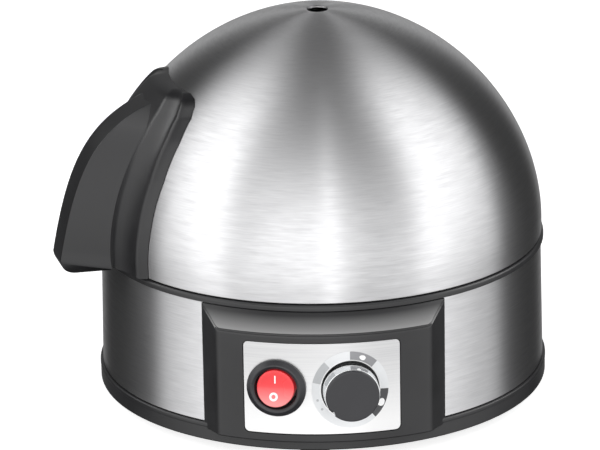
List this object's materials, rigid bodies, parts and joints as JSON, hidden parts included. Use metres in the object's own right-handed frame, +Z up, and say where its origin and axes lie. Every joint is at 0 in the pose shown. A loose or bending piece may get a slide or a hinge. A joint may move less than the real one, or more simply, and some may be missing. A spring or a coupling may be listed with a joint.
{
  "type": "egg cooker",
  "caption": "Round electric egg cooker with a steel dome lid, fin handle, steel-banded base, control housing with a lit rocker switch and an egg-hardness dial.",
  "frame": {"origin": "on the cooker's axis, at the flat pad in the middle of the bottom cover's underside; the rubber feet reach 4.7 mm below it", "axes": "+Z up along the axis; the control housing faces -Y; +X is to the right of it, and the lid's handle points to -X, turned 15 degrees forward"},
  "size_m": [0.1948, 0.1925, 0.1549],
  "materials": {
    "black_plastic": "satin, fine moulded grain",
    "brushed_steel": "satin, brushed around the axis",
    "brushed_aluminium": "satin, brushed sideways",
    "coated_plate": "dark non-stick coat",
    "tray_steel": "satin",
    "zinc_steel": "plated",
    "rubber": "matt",
    "silicone": "matt",
    "chrome": "polished",
    "red_lens": "glossy, lit from inside",
    "brass": "plain",
    "circuit_board": "satin",
    "ivory_plastic": "satin"
  },
  "bodies": {
    "base": {"base_shell": "black_plastic", "steel_band": "brushed_steel", "bottom_cover": "black_plastic", "base_foot_1": "rubber", "base_foot_2": "rubber", "base_foot_3": "rubber", "cover_screw_1": "zinc_steel", "cover_screw_2": "zinc_steel", "cover_screw_3": "zinc_steel", "cover_screw_4": "zinc_steel", "heating_plate": "coated_plate", "plate_seal": "silicone", "heating_element": "zinc_steel", "element_clamp": "zinc_steel", "clamp_screw_1": "zinc_steel", "clamp_screw_2": "zinc_steel", "thermostat": "zinc_steel", "thermal_fuse": "ivory_plastic", "fuse_clip": "zinc_steel", "panel_housing": "black_plastic", "panel_plate": "brushed_aluminium", "panel_screw_1": "zinc_steel", "panel_screw_2": "zinc_steel", "switch_body": "black_plastic", "switch_terminal_1": "brass", "switch_terminal_2": "brass", "switch_terminal_3": "brass", "dial_control": "black_plastic", "dial_nut": "zinc_steel", "control_board": "circuit_board", "board_screw_1": "zinc_steel", "board_screw_2": "zinc_steel", "board_screw_3": "zinc_steel", "board_screw_4": "zinc_steel", "relay": "black_plastic", "buzzer": "black_plastic", "terminal_block": "ivory_plastic", "cord_gland": "black_plastic", "gland_nut": "black_plastic"},
    "tray": {"egg_tray": "tray_steel", "tray_handle": "black_plastic", "tray_screw": "zinc_steel"},
    "lid": {"lid_dome": "brushed_steel", "lid_handle": "black_plastic", "handle_washer_1": "zinc_steel", "handle_screw_1": "zinc_steel", "handle_washer_2": "zinc_steel", "handle_screw_2": "zinc_steel"},
    "rocker": {"switch_rocker": "red_lens"},
    "dial": {"dial_knob": "black_plastic", "knob_sleeve": "chrome", "dial_shaft": "brass"}
  },
  "joints": [
    {"name": "tray_lift", "type": "slide", "parent": "base", "child": "tray", "axis": [0, 0, 1], "range_m": [0, 0.05]},
    {"name": "lid_lift", "type": "slide", "parent": "tray", "child": "lid", "axis": [0, 0, 1], "range_m": [0, 0.12]},
    {"name": "rocker_tilt", "type": "hinge", "parent": "base", "child": "rocker", "pos_m": [-0.01815, -0.0908, 0.0272], "axis": [0.9806, -0.1959, 0], "range_deg": [0, 20]},
    {"name": "dial_turn", "type": "hinge", "parent": "base", "child": "dial", "pos_m": [0.00985, -0.09298, 0.02635], "axis": [-0.1054, 0.9944, 0], "range_deg": [0, 270]}
  ]
}
